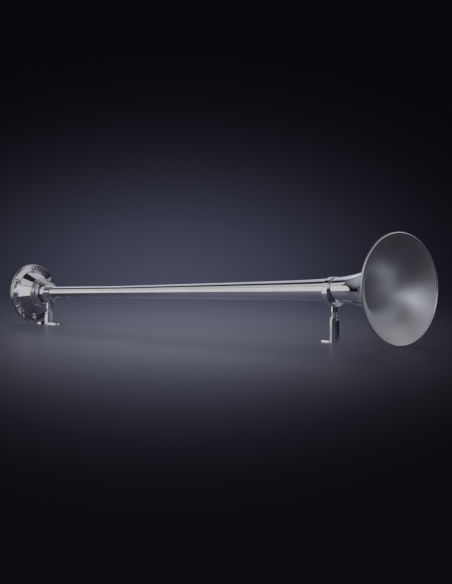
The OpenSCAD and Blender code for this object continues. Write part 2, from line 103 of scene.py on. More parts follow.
# Driving sizes of the stands
SHANK_R = 6.35
PITCH = 1.954
FRONT_POST_WALL = 3.15
REAR_POST_WALL = 2.65
REAR_STEP = 1
REAR_STEP_H = 15.0
POST_INSET = 0.3
JAM_WALL = 1.85
JAM_FLAT = 0.9
JAM_T = 2.5
WASHER_T = 0.7
TAB_T = 4.5
TAB_HALF = 9.0
TAB_REACH = 23.0
TAB_HOLE_R = 3.3
FOOT_FLOOR = 2.2
END_GAP = 0.5
SET_SCREW_ANGLE = math.radians(50)

# Clearances, and how far the visual model stays inside the CAD model's box
FIT = 0.05
FACE_GAP = 0.02
BOX_EASE = 0.04

# Stations and radii worked out from the driving sizes
CONE_TIP_S = FLANGE_S - CONE_LEN
SPIGOT_S = CONE_TIP_S - SPIGOT_LEN
FERRULE_S = SPIGOT_S - SEAL_T - FERRULE_FLANGE_T
LOCK_NUT_S = FERRULE_S - NUT_FACE_T
TUBE_END = CONE_TIP_S + TUBE_IN
HUB_END = CONE_TIP_S + HUB_LEN
FLANGE_BACK = FLANGE_S + FLANGE_T
DIAPHRAGM_S = FLANGE_BACK + GASKET_T
DIAPHRAGM_BACK = DIAPHRAGM_S + DIAPHRAGM_T
COVER_S = DIAPHRAGM_BACK + GASKET_T
COVER_BACK = COVER_S + FLANGE_T
CROWN_S = COVER_S + RECESS_DEPTH + CAST_WALL
PASSAGE_S = CROWN_S - PASSAGE_SUNK + PASSAGE_R
RIB_TOP = PASSAGE_S + PASSAGE_R + RIB_WALL
BOSS_END = PASSAGE_S + PASSAGE_R + INLET_LEAD + INLET_DEPTH
BOSS_R = INLET_R + BOSS_WALL
FERRULE_R = TUBE_R + FERRULE_WALL
SPIGOT_R = FERRULE_R + SPIGOT_WALL
HUB_R = FERRULE_R + HUB_WALL
LOCK_NOSE_R = SPIGOT_R + LOCK_NUT_WALL
LOCK_GRIP_R = LOCK_NOSE_R + LOCK_GRIP_RISE
CONE_BASE_R = FLANGE_R - CONE_INSET
SCREW_CIRCLE_R = FLANGE_R - SCREW_INSET
GASKET_R = FLANGE_R - GASKET_INSET
PORT_R = CONE_BASE_R + PORT_WALL + PASSAGE_R
RIB_END = FLANGE_R - RIB_INSET
RIB_HALF = PASSAGE_R + RIB_SIDE
BORE_R = SHANK_R + FIT
JAM_R = SHANK_R + JAM_WALL
POST_RIM_R = JAM_R - POST_INSET
FRONT_POST_R = SHANK_R + FRONT_POST_WALL
REAR_POST_R = SHANK_R + REAR_POST_WALL
STEP_R = REAR_POST_R + REAR_STEP

# Place of the horn: the bell clears the deck, and the length is centred on the origin
RIM_Z = DECK_GAP + BEAD_R + (BELL_R - BEAD_R) * math.cos(TILT) + BEAD_R * math.sin(TILT)
BACK_REACH = BOSS_END * math.cos(TILT) + BOSS_R * math.sin(TILT)
FRONT_REACH = (BELL_R - BEAD_R) * math.sin(TILT) + BEAD_R - BEAD_R * math.cos(TILT)
RIM_X = (BACK_REACH - FRONT_REACH) / 2

# Local frame of the horn: +Z forward along its axis, +X down, +Y across
HORN = Matrix.Translation((RIM_X, 0, RIM_Z)) @ Matrix.Rotation(math.pi / 2 - TILT, 4, "Y")
TO_METRES = Matrix.Scale(0.001, 4)

# The two stands, within 0.15 mm of the construction source. Heights are above the deck, and an eye may have
# a turned groove on both faces.
FRONT = SimpleNamespace(
    side="front", station=166.0, eye_width=14.0, eye_r=28.03, drop=3.7, groove_r=None, turns=5,
    shank_top=76.0, thread_top=57.6, post_top=44.6,
)
REAR = SimpleNamespace(
    side="rear", station=959.0, eye_width=10.5, eye_r=21.0, drop=0.0, groove_r=18.0, turns=3,
    shank_top=52.0, thread_top=32.3, post_top=22.6,
)
for stand in (FRONT, REAR):
    stand.x = RIM_X - stand.station * math.cos(TILT)
    stand.shank_end = FOOT_FLOOR + stand.turns * PITCH + END_GAP

# The bell's neck ends under the front eye
NECK = FRONT.station + FRONT.eye_width / 2 - NECK_COVER


def tube_radius(s):
    """Outer radius of the tapering tube at station s, without the bell's flare."""
    d = max(TAPER_START - s, 0)
    return TUBE_R + TAPER_SLOPE * d + TAPER_CURVE * d * d


def horn_radius(s):
    """Outer radius of the horn at station s."""
    return tube_radius(s) + (BELL_R - tube_radius(0)) * math.exp(-s / FLARE_LEN)


def horn_normal(s):
    """Outward normal of the horn's outer surface at station s, as (radial, backward)."""
    slope = horn_radius(s + 0.5) - horn_radius(s - 0.5)
    n = math.hypot(1, slope)
    return 1 / n, -slope / n


# Mesh helpers


def rounded(points, steps=5, support=0.25):
    """A closed outline of (x, y, radius) corners, with each corner rounded by an arc of that radius.

    A point close on each side of an arc keeps the flats beside it flat under smooth shading.
    """
    out = []
    n = len(points)
    least_turn, side_share = 0.02, 0.4
    for i, (x, y, r) in enumerate(points):
        p = Vector((x, y))
        a = Vector(points[i - 1][:2]) - p
        b = Vector(points[(i + 1) % n][:2]) - p
        side_a, side_b = a.length, b.length
        a.normalize()
        b.normalize()
        turn = math.pi - a.angle(b, math.pi)
        if r <= 0 or turn < least_turn:
            out.append((x, y))
            continue
        reach = min(r * math.tan(turn / 2), side_share * side_a, side_share * side_b)
        r = reach / math.tan(turn / 2)
        near = min(support, 0.3 * min(side_a, side_b), 2 * r)
        start, end = p + a * reach, p + b * reach
        mid = p + (a + b).normalized() * (r / math.cos(turn / 2))
        out.append(tuple(start + a * near))
        u, v = start - mid, end - mid
        for k in range(steps + 1):
            f = k / steps
            w = u * math.sin((1 - f) * turn) + v * math.sin(f * turn)
            out.append(tuple(mid + w.normalized() * r))
        out.append(tuple(end + b * near))
    return out


def down_axis(points):
    """(radius, station, rounding) corners as a rounded outline of (radius, z)."""
    return [(r, -s) for r, s in rounded(points)]


def turn_outline(outline, sides, closed=True, radius=None):
    """A bmesh turned about local Z from an outline of (r, z).

    radius(r, z, angle) may change each point's radius.
    """
    bm = bmesh.new()
    rings = []
    on_axis = 1e-6
    for r, z in outline:
        if r < on_axis:
            rings.append([bm.verts.new((0, 0, z))])
            continue
        ring = []
        for k in range(sides):
            t = 2 * math.pi * k / sides
            q = radius(r, z, t) if radius else r
            ring.append(bm.verts.new((q * math.cos(t), q * math.sin(t), z)))
        rings.append(ring)
    pairs = list(zip(rings, rings[1:]))
    if closed:
        pairs.append((rings[-1], rings[0]))
    for a, b in pairs:
        if len(a) == 1 and len(b) == 1:
            continue
        for k in range(sides):
            j = (k + 1) % sides
            if len(a) == 1:
                bm.faces.new((a[0], b[k], b[j]))
            elif len(b) == 1:
                bm.faces.new((a[k], b[0], a[j]))
            else:
                bm.faces.new((a[k], b[k], b[j], a[j]))
    bmesh.ops.recalc_face_normals(bm, faces=bm.faces)
    return bm


def prism(corners, low, high, upper=None):
    """A bmesh prism over a polygon of (x, y), from low to high.

    upper is the polygon at the top, if that differs.
    """
    bm = bmesh.new()
    top = [bm.verts.new((x, y, high)) for x, y in upper or corners]
    base = [bm.verts.new((x, y, low)) for x, y in corners]
    bm.faces.new(top)
    bm.faces.new(base[::-1])
    n = len(corners)
    for k in range(n):
        j = (k + 1) % n
        bm.faces.new((base[k], base[j], top[j], top[k]))
    bmesh.ops.recalc_face_normals(bm, faces=bm.faces)
    return bm


def circle(r, sides, x=0.0, y=0.0):
    """Points of a circle about (x, y)."""
    angles = [2 * math.pi * k / sides for k in range(sides)]
    return [(x + r * math.cos(t), y + r * math.sin(t)) for t in angles]


def plain_object(name, bm):
    """A linked object from a bmesh, in the bmesh's own units."""
    mesh = bpy.data.meshes.new(name)
    bm.to_mesh(mesh)
    bm.free()
    ob = bpy.data.objects.new(name, mesh)
    bpy.context.scene.collection.objects.link(ob)
    return ob


def add_mesh(name, bm, place, material, sharp=None):
    """An object in metres from a bmesh in millimetres at a local place.

    It is shaded smooth, apart from edges over sharp degrees.
    """
    bm.transform(TO_METRES @ place)
    ob = plain_object(name, bm)
    ob.data.shade_smooth()
    if sharp:
        ob.data.set_sharp_from_angle(angle=math.radians(sharp))
    ob.data.materials.append(material)
    return ob


def apply_modifier(ob, modifier):
    """Puts what an object's modifier makes in place of its mesh."""
    bpy.context.view_layer.update()
    evaluated = ob.evaluated_get(bpy.context.evaluated_depsgraph_get())
    mesh = bpy.data.meshes.new_from_object(evaluated)
    ob.modifiers.remove(modifier)
    old = ob.data
    ob.data = mesh
    bpy.data.meshes.remove(old)


def cut(ob, tool, operation="DIFFERENCE"):
    """Applies one boolean to ob and removes the tool."""
    modifier = ob.modifiers.new("cut", "BOOLEAN")
    modifier.operation = operation
    modifier.object = tool
    modifier.solver = "EXACT"
    apply_modifier(ob, modifier)
    bpy.data.objects.remove(tool)


def bevelled(ob, width, angle):
    """Rounds an object's edges that are over angle degrees, and shades it smooth."""
    modifier = ob.modifiers.new("bevel", "BEVEL")
    modifier.width = width / 1000
    modifier.segments = 4
    modifier.limit_method = "ANGLE"
    modifier.angle_limit = math.radians(angle)
    modifier.harden_normals = True
    apply_modifier(ob, modifier)
    ob.data.shade_smooth()


# Materials


class Nodes:
    """Short calls for building the node tree of one material, world or light."""

    def __init__(self, name, owner=None):
        self.material = owner or bpy.data.materials.new(name)
        self.material.use_nodes = True
        self.tree = self.material.node_tree
        kinds = ("BSDF_PRINCIPLED", "BACKGROUND", "EMISSION")
        self.shader = next(node for node in self.tree.nodes if node.type in kinds)
        self.coordinates = self.tree.nodes.new("ShaderNodeTexCoord")

    def add(self, kind, **settings):
        """A new node of a kind."""
        node = self.tree.nodes.new("ShaderNode" + kind)
        for key, value in settings.items():
            setattr(node, key, value)
        return node

    def link(self, a, b):
        """Links one socket to another."""
        self.tree.links.new(a, b)

    def mapped(self, scale=(1, 1, 1), rotation=(0, 0, 0)):
        """Object coordinates in metres, scaled and turned."""
        node = self.add("Mapping")
        node.inputs["Scale"].default_value = scale
        node.inputs["Rotation"].default_value = rotation
        self.link(self.coordinates.outputs["Object"], node.inputs["Vector"])
        return node.outputs["Vector"]

    def noise(self, vector, scale, detail, roughness):
        """Noise from 0 to 1 over a vector."""
        node = self.add("TexNoise")
        node.inputs["Scale"].default_value = scale
        node.inputs["Detail"].default_value = detail
        node.inputs["Roughness"].default_value = roughness
        self.link(vector, node.inputs["Vector"])
        return node.outputs["Fac"]

    def ramp(self, fac, stops):
        """A colour by a factor, from stops of (position, colour)."""
        node = self.add("ValToRGB")
        ramp = node.color_ramp
        while len(ramp.elements) > len(stops):
            ramp.elements.remove(ramp.elements[-1])
        while len(ramp.elements) < len(stops):
            ramp.elements.new(1.0)
        for element, (at, colour) in zip(ramp.elements, stops):
            element.position = at
            element.color = (*colour, 1.0)
        self.link(fac, node.inputs["Fac"])
        return node.outputs["Color"]

    def spread(self, fac, low, high, start, end):
        """A factor between start and end as a value between low and high."""
        node = self.add("MapRange")
        node.inputs["From Min"].default_value = start
        node.inputs["From Max"].default_value = end
        node.inputs["To Min"].default_value = low
        node.inputs["To Max"].default_value = high
        self.link(fac, node.inputs["Value"])
        return node.outputs["Result"]

    def maths(self, operation, a, b):
        """One sum of two values, each a number or a socket."""
        node = self.add("Math", operation=operation)
        for socket, value in zip(node.inputs, (a, b)):
            if isinstance(value, (int, float)):
                socket.default_value = value
            else:
                self.link(value, socket)
        return node.outputs["Value"]

    def pool(self, vector, middle, spreads):
        """A soft round pool: 1 at the middle, falling off along each direction by its own spread."""
        offset = self.add("VectorMath", operation="SUBTRACT")
        self.link(vector, offset.inputs[0])
        offset.inputs[1].default_value = middle
        total = 0.0
        for direction, spread in spreads:
            along = self.add("VectorMath", operation="DOT_PRODUCT")
            self.link(offset.outputs["Vector"], along.inputs[0])
            along.inputs[1].default_value = direction
            share = self.maths("DIVIDE", along.outputs["Value"], spread)
            total = self.maths("ADD", self.maths("MULTIPLY", share, share), total)
        return self.maths("EXPONENT", self.maths("MULTIPLY", total, -1.0), 0.0)

    def bump(self, height, strength, distance, normal=None):
        """A bumped normal, on top of another one if that is given."""
        node = self.add("Bump")
        node.inputs["Strength"].default_value = strength
        node.inputs["Distance"].default_value = distance
        self.link(height, node.inputs["Height"])
        if normal is not None:
            self.link(normal, node.inputs["Normal"])
        return node.outputs["Normal"]

    def set(self, **values):
        """Sets values on the shader's own sockets."""
        for key, value in values.items():
            self.shader.inputs[key].default_value = value


BRIGHT = (0.86, 0.865, 0.885)
SHADE = (0.79, 0.80, 0.83)
ALONG_HORN = (0, TILT, 0)


def plated(name, rough, lines, wave, light=BRIGHT, dark=SHADE, lathe=True):
    """Polished plate: faint tint and haze that drift over the surface, fine lines and a slight waviness.

    rough is its least and most roughness. The lines run round the horn, or round an upright if lathe is off.
    """
    m = Nodes(name)
    m.set(Metallic=1.0)
    tilt = ALONG_HORN if lathe else (0, 0, 0)
    stretched = m.mapped((900, 14, 14), tilt) if lathe else m.mapped((14, 14, 900))
    fine = m.noise(stretched, scale=1.0, detail=3.0, roughness=0.6)
    haze = m.noise(m.mapped(rotation=tilt), scale=17.0, detail=4.0, roughness=0.6)
    smears = m.noise(m.mapped((3.0, 9.0, 9.0), tilt), scale=3.0, detail=5.0, roughness=0.65)
    tint = m.ramp(haze, [(0.3, dark), (0.62, light)])
    m.link(tint, m.shader.inputs["Base Color"])
    base = m.spread(smears, *rough, start=0.35, end=0.75)
    grain = m.spread(fine, -0.012, 0.02, start=0.3, end=0.75)
    m.link(m.maths("ADD", base, grain), m.shader.inputs["Roughness"])
    broad = m.noise(m.mapped(rotation=tilt), scale=26.0, detail=2.0, roughness=0.4)
    waves = m.bump(broad, wave, distance=0.0006)
    m.link(m.bump(fine, lines, 0.00004, waves), m.shader.inputs["Normal"])
    return m.material


def bare_metal(name, light, dark, rough):
    """Unplated metal with spots of tarnish and a fine turned grain."""
    m = Nodes(name)
    m.set(Metallic=1.0)
    tarnish = m.noise(m.mapped(), scale=140.0, detail=5.0, roughness=0.62)
    m.link(m.ramp(tarnish, [(0.34, dark), (0.6, light)]), m.shader.inputs["Base Color"])
    low, high = rough
    m.link(m.spread(tarnish, high, low, start=0.3, end=0.7), m.shader.inputs["Roughness"])
    fine = m.noise(m.mapped((1200, 30, 30), ALONG_HORN), scale=1.0, detail=2.0, roughness=0.5)
    m.link(m.bump(fine, strength=0.2, distance=0.00008), m.shader.inputs["Normal"])
    return m.material


def rubber(name):
    """Black sheet rubber with pale bloom in patches."""
    m = Nodes(name)
    bloom = m.noise(m.mapped(), scale=230.0, detail=5.0, roughness=0.6)
    colours = [(0.35, (0.018, 0.018, 0.02)), (0.75, (0.055, 0.056, 0.06))]
    m.link(m.ramp(bloom, colours), m.shader.inputs["Base Color"])
    m.link(m.spread(bloom, 0.62, 0.85, start=0.3, end=0.7), m.shader.inputs["Roughness"])
    grain = m.noise(m.mapped(), scale=2200.0, detail=2.0, roughness=0.5)
    m.link(m.bump(grain, strength=0.25, distance=0.0001), m.shader.inputs["Normal"])
    return m.material


polished = plated("polished_plate", rough=(0.025, 0.075), lines=0.05, wave=0.035)
lapped = plated("lapped_plate", rough=(0.42, 0.50), lines=0.10, wave=0.02)
cast = plated("cast_plate", rough=(0.035, 0.10), lines=0.08, wave=0.06)
cover_plate = plated("cover_plate", rough=(0.20, 0.30), lines=0.12, wave=0.07)
stand_plate = plated("stand_plate", rough=(0.03, 0.09), lines=0.05, wave=0.04, lathe=False)
fastener = plated(
    "fastener_plate", rough=(0.07, 0.17), lines=0.10, wave=0.03,
    light=(0.80, 0.81, 0.83), dark=(0.66, 0.67, 0.70),
)
steel = bare_metal("plain_steel", light=(0.62, 0.63, 0.65), dark=(0.42, 0.42, 0.44), rough=(0.25, 0.42))
brass = bare_metal("turned_brass", light=(0.80, 0.62, 0.30), dark=(0.50, 0.35, 0.15), rough=(0.20, 0.42))
bronze = bare_metal("bronze_sheet", light=(0.71, 0.48, 0.26), dark=(0.42, 0.25, 0.13), rough=(0.24, 0.45))
black = rubber("sheet_rubber")


def skin(name, bm, place, material, body, nodes, sharp=None):
    """A visual piece that stands for CAD nodes of a body."""
    ob = add_mesh(name, bm, place, material, sharp)
    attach(ob, body)
    if nodes:
        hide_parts(*nodes)
    return ob


# The trumpet


def bell_outline():
    """Outer skin, bead and inner skin of the bell, as (radius, z), and where the inner skin starts."""
    bead_centre = (BELL_R - BEAD_R - BOX_EASE, BEAD_R)
    start = 0.9 * BEAD_R
    count, crowding = 110, 1.9
    outer, inner = [], []
    for k in range(count + 1):
        s = start + (NECK - start) * (k / count) ** crowding
        r = horn_radius(s)
        radial, backward = horn_normal(s)
        inner.append((r - WALL * radial, s - WALL * backward))
        outer.append((r, s))
    outer = [p for p in outer if math.dist(p, bead_centre) > BEAD_R]
    inner = [p for p in inner if math.dist(p, bead_centre) > BEAD_R and BEAD_R < p[1] <= NECK]

    # The bead runs the long way round, from the outer skin to the inner one
    first, last = (math.atan2(s - BEAD_R, r - bead_centre[0]) for r, s in (outer[0], inner[0]))
    sweep = (last - first) % (2 * math.pi)
    sweep = sweep if sweep > math.pi else sweep - 2 * math.pi
    bead_steps = 32
    bead = []
    for k in range(bead_steps + 1):
        t = first + sweep * k / bead_steps
        bead.append((bead_centre[0] + BEAD_R * math.cos(t), BEAD_R + BEAD_R * math.sin(t)))

    end_r = horn_radius(NECK)
    chamfer = 0.2
    points = outer[::-1] + bead + inner
    points += [(end_r - WALL + chamfer, NECK), (end_r - chamfer, NECK)]
    return [(r, -s) for r, s in points], len(outer) + len(bead) - 1


def tube_outline():
    """The long tube, its joggle under the bell's neck and its bore, as (radius, z)."""
    lap_r = horn_radius(NECK) - WALL - 0.12
    lap_start = NECK - LAP_LEN
    count = 60
    outer, inner = [], []
    for k in range(count + 1):
        s = NECK + FACE_GAP + (TAPER_START - NECK) * k / count
        outer.append((horn_radius(s), s))
        inner.append((horn_radius(s) - WALL, s))
    points = [(lap_r, lap_start), (lap_r, NECK + FACE_GAP)] + outer
    points += [(TUBE_R, TUBE_END), (TUBE_R - WALL, TUBE_END)]
    points += inner[::-1]
    points += [(lap_r - WALL, NECK), (lap_r - WALL, lap_start)]
    return [(r, -s) for r, s in points]


def make_bell():
    """The bell's skin, polished outside and lapped inside."""
    sides = 192
    outline, first_lapped = bell_outline()
    bm = turn_outline(outline, sides)
    bell = skin("bell_skin", bm, HORN, polished, "horn", ["bell"])
    bell.data.materials.append(lapped)
    for face in bell.data.polygons:
        if face.index // sides >= first_lapped:
            face.material_index = 1


make_bell()
tube_bm = turn_outline(tube_outline(), 128)
skin("tube_skin", tube_bm, HORN, polished, "horn", ["horn_tube"], 40)

# The driver


def lock_nut_outline():
    """The lock nut: a narrow nose and a wider grip, hollow over the housing's spigot."""
    bore, hollow = TUBE_R + 0.03, SPIGOT_R + 0.06
    grip, back, face = CONE_TIP_S - 6.2, CONE_TIP_S - 0.3, FERRULE_S + 0.1
    return down_axis([
        (bore, LOCK_NUT_S, 0.3), (LOCK_NOSE_R, LOCK_NUT_S, 1.3), (LOCK_NOSE_R, grip - 1.5, 0.5),
        (LOCK_GRIP_R, grip, 0.9), (LOCK_GRIP_R, back, 0.9), (hollow, back, 0.1), (hollow, face, 0.1),
        (bore, face, 0.1),
    ])


def housing_outline():
    """The front housing: flange, cone and spigot outside, hub and chamber inside."""
    bore, hollow = FERRULE_R + FIT, CONE_TIP_S + CAST_WALL
    return down_axis([
        (CONE_BASE_R, FLANGE_BACK, 0.2), (FLANGE_R, FLANGE_BACK, 1.2), (FLANGE_R, FLANGE_S, 1.7),
        (CONE_BASE_R + 0.9, FLANGE_S, 0.9), (CONE_BASE_R, FLANGE_S - 0.8, 0.5),
        (CONE_TIP_R, CONE_TIP_S, 1.6), (SPIGOT_R, CONE_TIP_S, 0.3), (SPIGOT_R, SPIGOT_S, 0.5),
        (bore, SPIGOT_S, 0.1), (bore, HUB_END, 0.1), (HUB_R, HUB_END, 0.2), (HUB_R, hollow, 0.2),
        (CONE_TIP_R - CAST_WALL, hollow, 0.2), (CONE_BASE_R - 1.8, FLANGE_S + 1, 0.2),
    ])


def cover_outline():
    """The rear cover: recess, flange, crown and the boss with its inlet."""
    recess = COVER_S + RECESS_DEPTH
    dome_r = CONE_BASE_R + 1
    drill_r = INLET_R - 0.9
    end = BOSS_END - BOX_EASE
    return down_axis([
        (0.0, recess, 0), (CONE_BASE_R - RECESS_DEPTH, recess, 0.5), (CONE_BASE_R, COVER_S + 2, 0.5),
        (CONE_BASE_R, COVER_S, 0.2), (FLANGE_R, COVER_S, 1.2), (FLANGE_R, COVER_BACK, 1.7),
        (dome_r + 0.4, COVER_BACK, 1.0), (dome_r, COVER_BACK + 0.8, 0.4), (dome_r, CROWN_S, 7.2),
        (BOSS_R + 0.7, CROWN_S, 1.2), (BOSS_R, CROWN_S + 1.0, 0.4), (BOSS_R, end, 0.9),
        (INLET_R + 0.8, end, 0.3), (INLET_R, end - 0.9, 0.1), (INLET_R, end - INLET_DEPTH, 0.1),
        (drill_r, end - 12.4, 0.1), (drill_r, end - 16.5, 0.1), (0.0, end - 16.8, 0),
    ])


def in_inlet(r):
    """Whether a radius is that of the inlet's bore."""
    return abs(r - INLET_R) < 0.05


def inlet_thread(r, z, t):
    """The pipe thread in the inlet's bore."""
    depth = 0.28
    if in_inlet(r):
        return INLET_R + depth * math.cos(2 * math.pi * z / INLET_PITCH - t)
    return r


def make_cover():
    """The cover's turned part. Its long bore has rings close enough together to carry the thread."""
    ring_gap, long_side = 0.17, 5
    outline = cover_outline()
    points = []
    for (r0, z0), (r1, z1) in zip(outline, outline[1:]):
        points.append((r0, z0))
        length = abs(z1 - z0)
        if in_inlet(r0) and in_inlet(r1) and length > long_side:
            steps = int(length / ring_gap)
            points += [(INLET_R, z0 + (z1 - z0) * k / steps) for k in range(1, steps)]
    points.append(outline[-1])
    bm = turn_outline(points, 144, closed=False, radius=inlet_thread)
    skin("cover_turned", bm, HORN, cover_plate, "horn", ["rear_cover"], 45)


def make_rib():
    """The rib over the drilled passage, from the boss to the flange's edge."""
    root, corner_r, sunk = 8.0, 2.0, 0.5
    behind_boss, before_cover = -BOSS_END - 5, -1000
    inside_boss, past_rim = 20, 70
    corners = rounded([
        (RIB_END, -RIB_HALF, corner_r), (RIB_END, RIB_HALF, corner_r),
        (root, RIB_HALF, 0), (root, -RIB_HALF, 0),
    ], steps=4, support=0.4)
    bm = prism(corners, -RIB_TOP, -COVER_BACK + sunk)
    rib = add_mesh("cover_rib", bm, HORN @ Matrix.Rotation(math.pi / 2, 4, "Z"), cover_plate)
    boss_bm = prism(circle(BOSS_R - 0.9, 64), behind_boss, before_cover)
    cut(rib, add_mesh("rib_bore_tool", boss_bm, HORN, cover_plate))
    passage = Matrix.Translation((0, 0, -PASSAGE_S)) @ Matrix.Rotation(-math.pi / 2, 4, "X")
    passage_bm = prism(circle(PASSAGE_R, 40), inside_boss, past_rim)
    cut(rib, add_mesh("rib_hole_tool", passage_bm, HORN @ passage, cover_plate))
    bevelled(rib, 0.9, 40)
    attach(rib, "horn")


lock_bm = turn_outline(lock_nut_outline(), 144)
skin("lock_nut_turned", lock_bm, HORN, polished, "horn", ["lock_nut"])
housing_bm = turn_outline(housing_outline(), 192)
skin("housing_turned", housing_bm, HORN, cast, "horn", ["front_housing"])
make_cover()
make_rib()


def at_screws(make, name, nodes, sharp):
    """One object of equal pieces at the flange screws' places."""
    joined = bmesh.new()
    for k in range(SCREW_COUNT):
        one = make()
        angle = k * 2 * math.pi / SCREW_COUNT
        one.transform(Matrix.Rotation(angle, 4, "Z") @ Matrix.Translation((SCREW_CIRCLE_R, 0, 0)))
        mesh = bpy.data.meshes.new("one")
        one.to_mesh(mesh)
        one.free()
        joined.from_mesh(mesh)
        bpy.data.meshes.remove(mesh)
    skin(name, joined, HORN, fastener, "horn", nodes, sharp)


def screw():
    """A flange screw: its low domed head has a dark undercut and a hex socket."""
    top, seat, tail = FLANGE_S - HEAD_H, FLANGE_S - 0.05, COVER_BACK + 5.5
    outline = down_axis([
        (0.0, top, 0), (2.4, top, 0.2), (3.9, top + 0.35, 0.7), (HEAD_R, FLANGE_S - 1.5, 0.7),
        (HEAD_R, FLANGE_S - 0.3, 0.25), (HEAD_R - 0.35, seat, 0.1), (SCREW_R, seat, 0.1),
        (SCREW_R, tail - 0.3, 0.5), (0.0, tail, 0),
    ])
    ob = plain_object("head", turn_outline(outline, 48, closed=False))
    socket_r, socket_depth = 2.05, 1.9
    cut(ob, plain_object("socket", prism(circle(socket_r, 6), -top - socket_depth, -top + 1)))
    out = bmesh.new()
    out.from_mesh(ob.data)
    bpy.data.objects.remove(ob)
    return out


def nut():
    """A hex nut with both faces chamfered where a cone cuts the corners."""
    bore_r, face_r = 2.62, 3.75
    corner_r = NUT_HALF_FLATS / math.cos(math.pi / 6)
    chamfer = [(4.15, 0.32), (corner_r, 0.62)]
    points = [(bore_r, FACE_GAP), (face_r, FACE_GAP)] + chamfer
    points += [(r, NUT_H - h) for r, h in reversed(chamfer)]
    points += [(face_r, NUT_H), (bore_r, NUT_H)]

    def hexed(r, z, t):
        if r < face_r:
            return r
        return min(r, NUT_HALF_FLATS / math.cos(t % (math.pi / 3) - math.pi / 6))

    return turn_outline([(r, -COVER_BACK - h) for r, h in points], 72, radius=hexed)


at_screws(screw, "flange_screws", ["cover_screws"], 30)
at_screws(nut, "flange_nuts", ["cover_nuts"], 28)


def sheet_ring(inner_r, outer_r):
    """A flat ring of the diaphragm's sheet."""
    front, back = -DIAPHRAGM_S, -DIAPHRAGM_BACK
    return turn_outline([(inner_r, front), (outer_r, front), (outer_r, back), (inner_r, back)], 144)


def make_diaphragm():
    """The diaphragm in two pieces, because its clamped edge stays while its middle moves."""
    rivet_hole_r, moving_r = 2.05, 43.2
    middle_bm = sheet_ring(rivet_hole_r, moving_r)
    skin("diaphragm_middle", middle_bm, HORN, bronze, "diaphragm_centre", [], 30)
    edge_bm = sheet_ring(moving_r + FIT, GASKET_R)
    edge = skin("diaphragm_edge", edge_bm, HORN, bronze, "horn", ["diaphragm"], 30)
    holes = [(SCREW_CIRCLE_R, 2 * math.pi * k / SCREW_COUNT, SCREW_R + 0.1) for k in range(SCREW_COUNT)]
    holes.append((PORT_R, math.pi / 2, PASSAGE_R))
    for at, angle, hole_r in holes:
        hole = circle(hole_r, 40, at * math.cos(angle), at * math.sin(angle))
        tool_bm = prism(hole, -DIAPHRAGM_BACK - 1, -DIAPHRAGM_S + 1)
        cut(edge, add_mesh("sheet_hole_tool", tool_bm, HORN, bronze))
    edge.data.set_sharp_from_angle(angle=math.radians(30))


make_diaphragm()

# The stands


def plain_section(front_in, back_in, out_r, half, wall):
    """Section of a plain eye: its front face is sunk in a raised lip, less where the wall is thin."""
    edge = min(1.2, 0.42 * wall)
    sunk = 0.1 + 1.3 * min(1.0, max(0.0, (wall - 2.4) / 4.0))
    return [
        (front_in, -half + sunk, 0.1), (out_r - 0.9 - 1.9 * sunk, -half + sunk, 0.15),
        (out_r - 0.8, -half, 0.4), (out_r, -half, 0.4), (out_r, half, edge), (back_in, half, 0.25 * edge),
    ]


def grooved_section(front_in, back_in, out_r, half, wall, groove_r):
    """Section of an eye with a turned groove on both faces, outside of which the face is a little lower."""
    edge = min(1.2, 0.42 * wall)
    floor, shoulder = half - 0.7, half - 0.1
    return [
        (front_in, -half, 0.3), (groove_r - 1.0, -half, 0.3), (groove_r - 0.5, -floor, 0.2),
        (groove_r, -floor, 0.2), (groove_r + 0.5, -shoulder, 0.2), (out_r, -shoulder, edge),
        (out_r, shoulder, edge), (groove_r + 0.5, shoulder, 0.2), (groove_r, floor, 0.2),
        (groove_r - 0.5, floor, 0.2), (groove_r - 1.0, half, 0.3), (back_in, half, 0.3),
    ]


def eye_ring(stand):
    """The ring of an eye: its bore follows the horn, and its outside may be set low."""
    sides, bore_gap = 144, 0.08
    half = stand.eye_width / 2
    horn_r = horn_radius(stand.station)
    front_in = horn_radius(stand.station - half) + bore_gap
    back_in = horn_radius(stand.station + half) + bore_gap
    bm = bmesh.new()
    rings = []
    for k in range(sides):
        t = 2 * math.pi * k / sides
        out_r = stand.drop * math.cos(t) + math.sqrt(stand.eye_r ** 2 - (stand.drop * math.sin(t)) ** 2)
        sizes = (front_in, back_in, out_r, half, out_r - horn_r)
        section = grooved_section(*sizes, stand.groove_r) if stand.groove_r else plain_section(*sizes)
        loop = rounded(section, 5, 0.3)
        rings.append([bm.verts.new((r * math.cos(t), r * math.sin(t), -stand.station - s)) for r, s in loop])
    for a, b in zip(rings, rings[1:] + rings[:1]):
        for i in range(len(a)):
            j = (i + 1) % len(a)
            bm.faces.new((a[i], b[i], b[j], a[j]))
    bmesh.ops.recalc_face_normals(bm, faces=bm.faces)
    return bm


def shank(top, bottom, thread_top):
    """The upright shank: plain under the eye, then threaded down to its chamfered end."""
    plain_step, thread_step, point_len = 1.5, PITCH / 8, 0.8
    levels = [top]
    while levels[-1] > thread_top + plain_step:
        levels.append(levels[-1] - plain_step)
    while levels[-1] - thread_step > bottom + point_len:
        levels.append(levels[-1] - thread_step)
    outline = [(0.0, top)] + [(SHANK_R, z) for z in levels]
    outline += [(SHANK_R - 0.7, bottom + 0.2), (SHANK_R - 1.1, bottom), (0.0, bottom)]
    full_depth, fade_in, flank, flank_power = 0.62, 1.6, 2.645, 1.1

    def thread(r, z, t):
        if r < SHANK_R - 0.01 or z > thread_top:
            return r
        depth = full_depth * min(1.0, (thread_top - z) / fade_in)
        phase = (z / PITCH - t / (2 * math.pi)) % 1.0
        return r - depth * min(1.0, flank * abs(phase - 0.5) ** flank_power)

    return turn_outline(outline, 64, closed=False, radius=thread)


